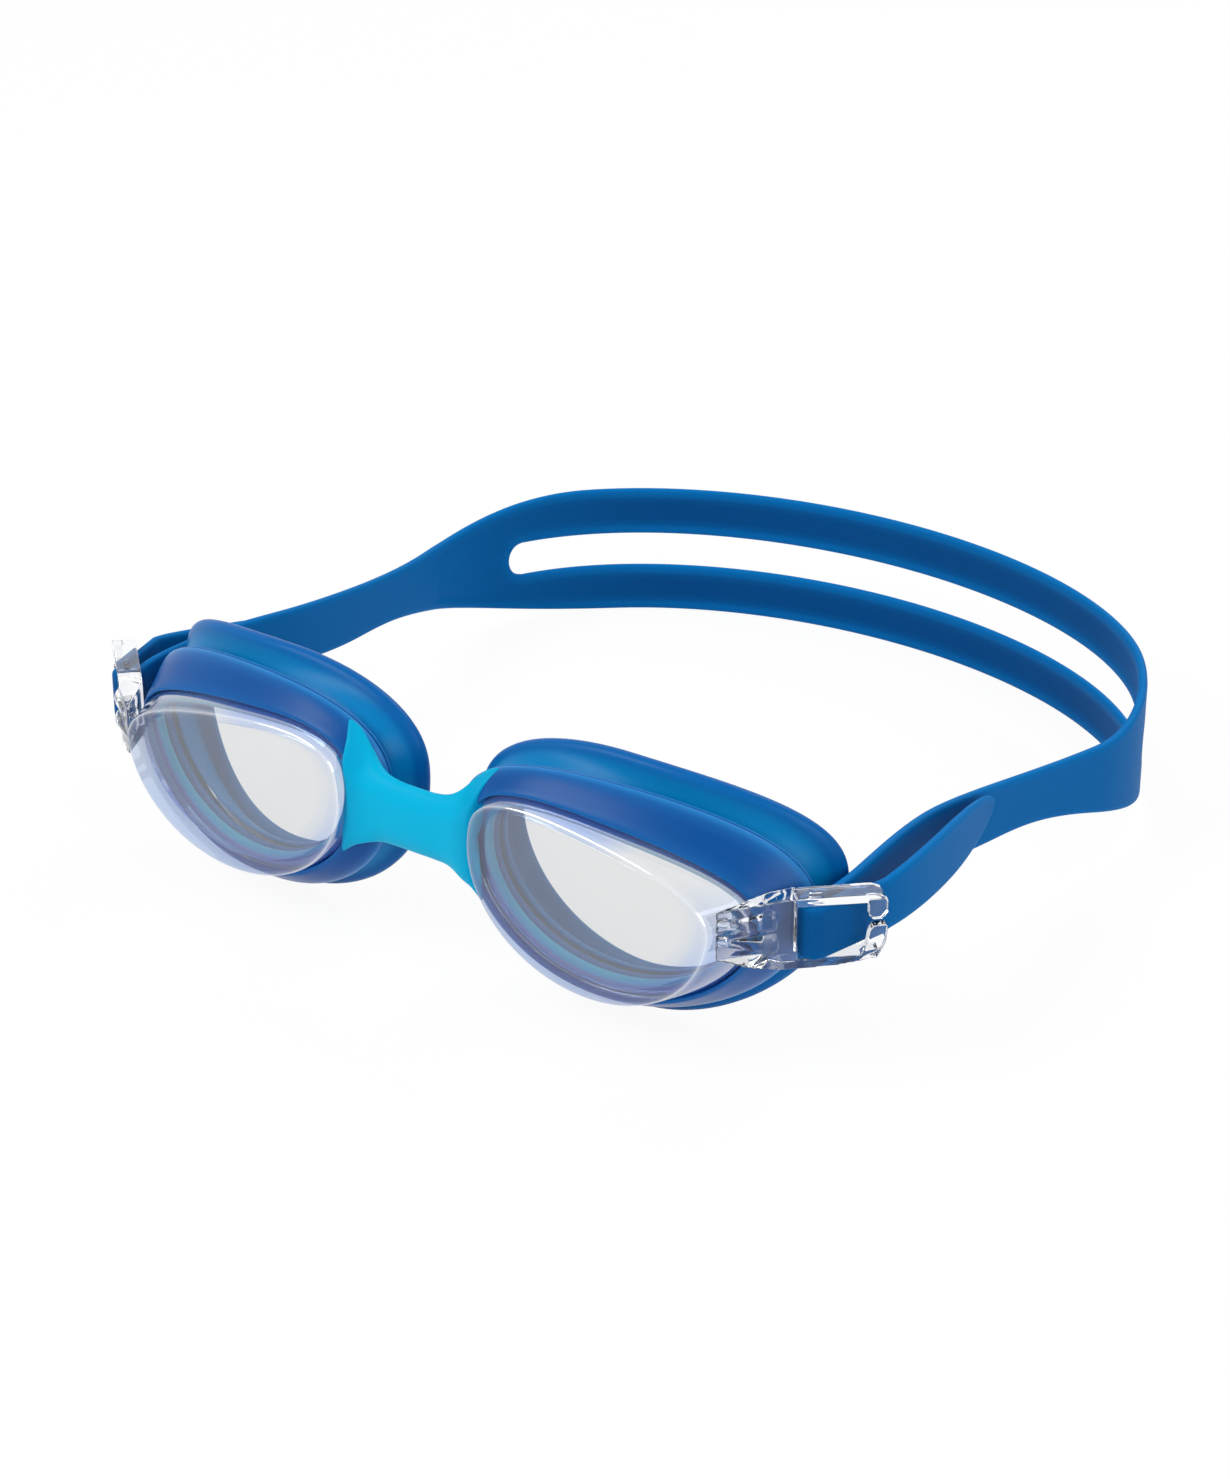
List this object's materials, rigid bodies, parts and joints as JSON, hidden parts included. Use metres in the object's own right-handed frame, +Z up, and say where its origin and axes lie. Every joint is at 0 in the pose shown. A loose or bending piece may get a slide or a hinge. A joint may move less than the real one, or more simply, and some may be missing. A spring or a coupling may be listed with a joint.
{
  "type": "swim goggles",
  "caption": "Swim goggles: clear curved lenses in soft rims with face seals, a flexible nose bridge, hooked clips and a head strap that splits into an upper and a lower band.",
  "frame": {"origin": "on the table, under the middle of the goggles' length and width", "axes": "+X to the wearer's left, +Y from the lenses back along the strap, +Z up; the lenses look along -Y"},
  "size_m": [0.1588, 0.1548, 0.044],
  "materials": {
    "clear_lens": "polished clear polycarbonate",
    "bridge_silicone": "matt cyan silicone",
    "rim_navy": "satin deep blue silicone, slightly see-through",
    "seal_blue": "satin see-through blue silicone",
    "strap_blue": "satin blue silicone"
  },
  "bodies": {
    "bridge": {"nose_bridge": "bridge_silicone"},
    "eyecup_left": {"frame_ring_left": "bridge_silicone", "lens_left": "clear_lens", "rim_left": "rim_navy", "seal_left": "seal_blue", "clip_left": "clear_lens", "strap_loop_left": "strap_blue"},
    "eyecup_right": {"frame_ring_right": "bridge_silicone", "lens_right": "clear_lens", "rim_right": "rim_navy", "seal_right": "seal_blue", "clip_right": "clear_lens", "strap_loop_right": "strap_blue"},
    "tail_left": {"strap_tail_left": "strap_blue"},
    "tail_right": {"strap_tail_right": "strap_blue"},
    "strap": {"strap_side_left": "strap_blue", "strap_side_right": "strap_blue"},
    "strap_back": {"strap_fork_left": "strap_blue", "strap_fork_right": "strap_blue"},
    "band_upper": {"band_upper": "strap_blue"},
    "band_lower": {"band_lower": "strap_blue"}
  },
  "joints": [
    {"name": "eyecup_left_tilt", "type": "hinge", "parent": "bridge", "child": "eyecup_left", "pos_m": [0.008, -0.0734, 0.0256], "axis": [0.9907, 0.1363, 0], "range_deg": [-8, 8], "stiffness_Nm_per_rad": 0.15, "deforming": ["nose_bridge", "strap_side_left", "strap_side_right"]},
    {"name": "eyecup_right_tilt", "type": "hinge", "parent": "bridge", "child": "eyecup_right", "pos_m": [-0.008, -0.0734, 0.0256], "axis": [0.9907, -0.1363, 0], "range_deg": [-8, 8], "stiffness_Nm_per_rad": 0.15, "deforming": ["nose_bridge", "strap_side_left", "strap_side_right"]},
    {"name": "strap_pitch", "type": "hinge", "parent": "bridge", "child": "strap", "pos_m": [0, -0.0649, 0.0256], "axis": [1, 0, 0], "range_deg": [-20, 45], "stiffness_Nm_per_rad": 0.3, "deforming": ["strap_side_left", "strap_side_right"]},
    {"name": "strap_stretch", "type": "slide", "parent": "strap", "child": "strap_back", "axis": [0, 1, 0], "range_m": [0, 0.045], "stiffness_N_per_m": 60, "deforming": ["strap_side_left", "strap_side_right"]},
    {"name": "band_upper_spread", "type": "hinge", "parent": "strap_back", "child": "band_upper", "pos_m": [0, 0.0412, 0.0254], "axis": [1, 0, 0], "range_deg": [0, 25], "stiffness_Nm_per_rad": 0.05},
    {"name": "band_lower_spread", "type": "hinge", "parent": "strap_back", "child": "band_lower", "pos_m": [0, 0.0412, 0], "axis": [1, 0, 0], "range_deg": [-20, 0], "stiffness_Nm_per_rad": 0.05},
    {"name": "tail_left_peel", "type": "hinge", "parent": "eyecup_left", "child": "tail_left", "pos_m": [0.0755, -0.0525, 0.0256], "axis": [0, 0, -1], "range_deg": [0, 35], "stiffness_Nm_per_rad": 0.01},
    {"name": "tail_right_peel", "type": "hinge", "parent": "eyecup_right", "child": "tail_right", "pos_m": [-0.0755, -0.0525, 0.0256], "axis": [0, 0, 1], "range_deg": [0, 35], "stiffness_Nm_per_rad": 0.01}
  ]
}
